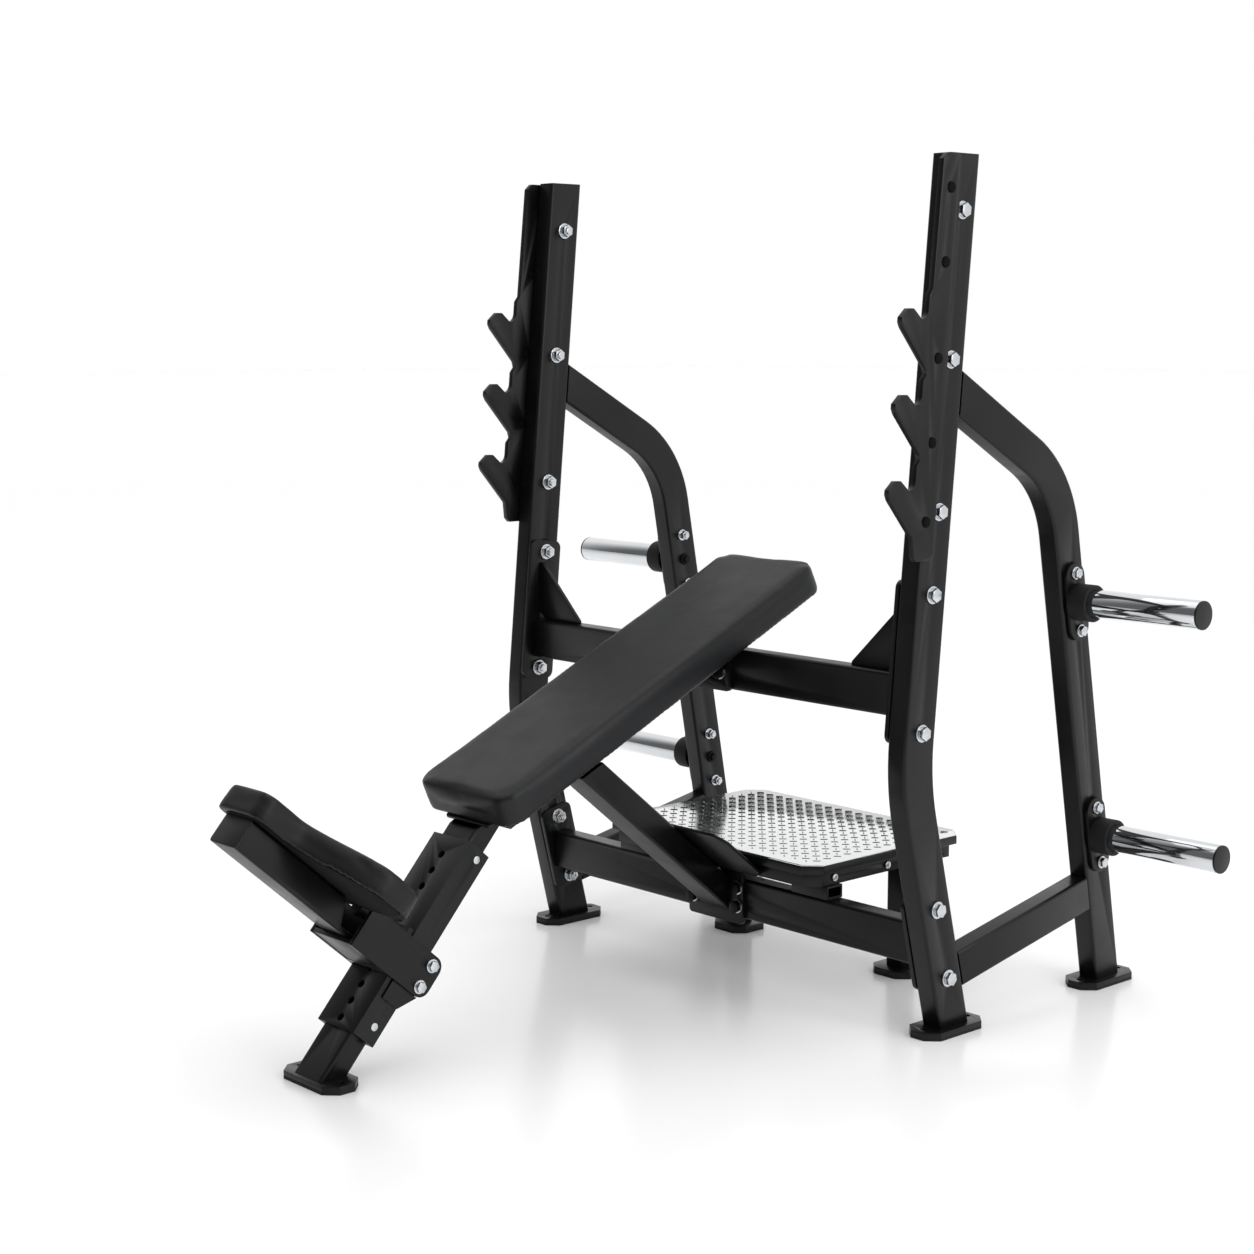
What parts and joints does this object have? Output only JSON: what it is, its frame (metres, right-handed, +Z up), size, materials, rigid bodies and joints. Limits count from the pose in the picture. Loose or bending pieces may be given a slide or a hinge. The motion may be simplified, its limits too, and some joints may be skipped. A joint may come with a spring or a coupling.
{
  "type": "incline bench press",
  "caption": "Incline olympic bench press with three bar-hook heights, plate pegs, a fixed incline pad, a height-adjustable seat and a spotter platform.",
  "frame": {"origin": "centre of the footprint on the floor", "axes": "+X across the rack, +Y from the seat to the spotter platform, +Z up"},
  "size_m": [1.5784, 1.6439, 1.488],
  "materials": {
    "black_powder_coat": "satin",
    "grey_powder_coat": "satin",
    "zinc_steel": "satin",
    "black_oxide_steel": "satin",
    "chrome_steel": "polished",
    "black_rubber": "matte",
    "black_plastic": "matte",
    "nylon": "matte",
    "tread_plate": "satin",
    "dust_cover": "matte",
    "pad_vinyl": "satin"
  },
  "bodies": {
    "frame": {"upright_left": "black_powder_coat", "upright_right": "black_powder_coat", "rear_leg_left": "black_powder_coat", "rear_leg_right": "black_powder_coat", "side_rail_left": "black_powder_coat", "side_rail_right": "black_powder_coat", "hook_plate_left": "black_powder_coat", "hook_plate_right": "black_powder_coat", "hook_plugs": "black_plastic", "upright_caps": "black_plastic", "mid_crossbar": "black_powder_coat", "lower_crossbar": "black_powder_coat", "bar_flanges": "black_powder_coat", "gusset_plates": "black_powder_coat", "foot_plates": "black_powder_coat", "foot_pads": "black_rubber", "frame_bolts": "zinc_steel", "frame_washers": "zinc_steel", "frame_nuts": "zinc_steel", "peg_flanges": "black_powder_coat", "plate_pegs": "chrome_steel", "peg_collars": "black_rubber", "peg_end_caps": "black_plastic", "peg_plugs": "black_powder_coat", "peg_centre_bolts": "black_oxide_steel", "peg_bolts": "zinc_steel", "peg_washers": "zinc_steel", "seat_post": "black_powder_coat", "seat_guide": "grey_powder_coat", "guide_strips": "grey_powder_coat", "guide_screws": "zinc_steel", "spine": "black_powder_coat", "spine_flange": "black_powder_coat", "pad_brackets": "black_powder_coat", "brace": "black_powder_coat", "brace_flange": "black_powder_coat", "brace_tie_plate": "black_powder_coat", "flange_bolts": "black_oxide_steel", "back_board": "dust_cover", "back_pad": "pad_vinyl", "platform_plate": "tread_plate", "platform_rim": "black_powder_coat", "platform_rails": "black_powder_coat", "platform_legs": "black_powder_coat", "platform_brackets": "black_powder_coat", "platform_bolts": "zinc_steel"},
    "seat_carriage": {"seat_arm": "black_powder_coat", "arm_end_cap": "black_plastic", "carriage_cheeks": "grey_powder_coat", "carriage_plates": "black_powder_coat", "slide_pads": "nylon", "roller_bolts": "zinc_steel", "roller_washers": "zinc_steel", "seat_board": "dust_cover", "seat_pad": "pad_vinyl", "pin_housing": "zinc_steel"},
    "pop_pin": {"pin_plunger": "zinc_steel", "pin_knob": "black_plastic"},
    "upper_roller": {"roller_upper": "nylon"},
    "lower_roller": {"roller_lower": "nylon"}
  },
  "joints": [
    {"name": "seat_slide", "type": "slide", "parent": "frame", "child": "seat_carriage", "axis": [0, 0.66, 0.7513], "range_m": [-0.0942, 0.157]},
    {"name": "pin_push", "type": "slide", "parent": "seat_carriage", "child": "pop_pin", "axis": [0, 0.7513, -0.66], "range_m": [0, 0.014]},
    {"name": "upper_roller_turn", "type": "hinge", "parent": "seat_carriage", "child": "upper_roller", "pos_m": [0, -0.46797, 0.17001], "axis": [1, 0, 0], "range_deg": [-605, 1205]},
    {"name": "lower_roller_turn", "type": "hinge", "parent": "seat_carriage", "child": "lower_roller", "pos_m": [0, -0.49437, 0.13996], "axis": [1, 0, 0], "range_deg": [-605, 1205]}
  ],
  "couplings": [
    {"joint": "upper_roller_turn", "follows": "seat_slide", "rad_per_m": 111.11},
    {"joint": "lower_roller_turn", "follows": "seat_slide", "rad_per_m": 111.11}
  ]
}
